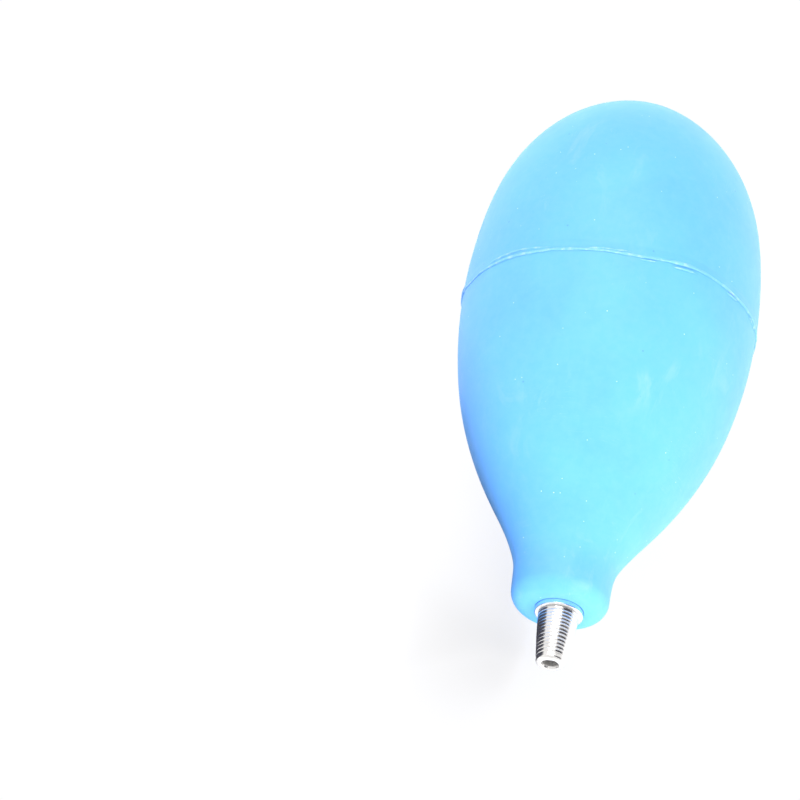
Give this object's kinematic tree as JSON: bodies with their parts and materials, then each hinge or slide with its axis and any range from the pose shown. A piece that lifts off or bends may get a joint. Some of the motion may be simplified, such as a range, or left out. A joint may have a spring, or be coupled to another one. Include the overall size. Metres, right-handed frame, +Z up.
{
  "type": "dust blower bulb",
  "caption": "Hand-squeezed rubber air bulb with a bonded seam, a thick neck and a tapered metal nozzle for blowing dust off small mechanisms.",
  "frame": {"origin": "centre of the bounding box in plan, at the lowest point of the seam bead", "axes": "+Y along the bulb's axis towards the rear pole, with the nozzle towards -Y; +Z up, the bulb lying on its side; +X across"},
  "size_m": [0.0559, 0.1186, 0.0559],
  "materials": {
    "bulb_rubber": "matte moulded, light blue",
    "seam_rubber": "matte cured cement, slightly lighter blue",
    "bush_metal": "plain bright plated",
    "nozzle_metal": "plated, fine turning rings"
  },
  "bodies": {
    "front": {"front_shell": "bulb_rubber"},
    "rear": {"rear_shell": "bulb_rubber", "seam_bead": "seam_rubber"},
    "bush": {"neck_bush": "bush_metal"},
    "tip": {"nozzle_tip": "nozzle_metal"}
  },
  "joints": [
    {"name": "squeeze", "type": "slide", "parent": "front", "child": "rear", "axis": [0, -1, 0], "range_m": [0, 0.02], "stiffness_N_per_m": 1500, "deforming": ["front_shell"]},
    {"name": "nozzle_turn", "type": "hinge", "parent": "front", "child": "bush", "pos_m": [0, -0.04765, 0.02795], "axis": [0, -1, 0], "continuous": true},
    {"name": "tip_pull", "type": "slide", "parent": "bush", "child": "tip", "axis": [0, -1, 0], "range_m": [0, 0.009]}
  ]
}
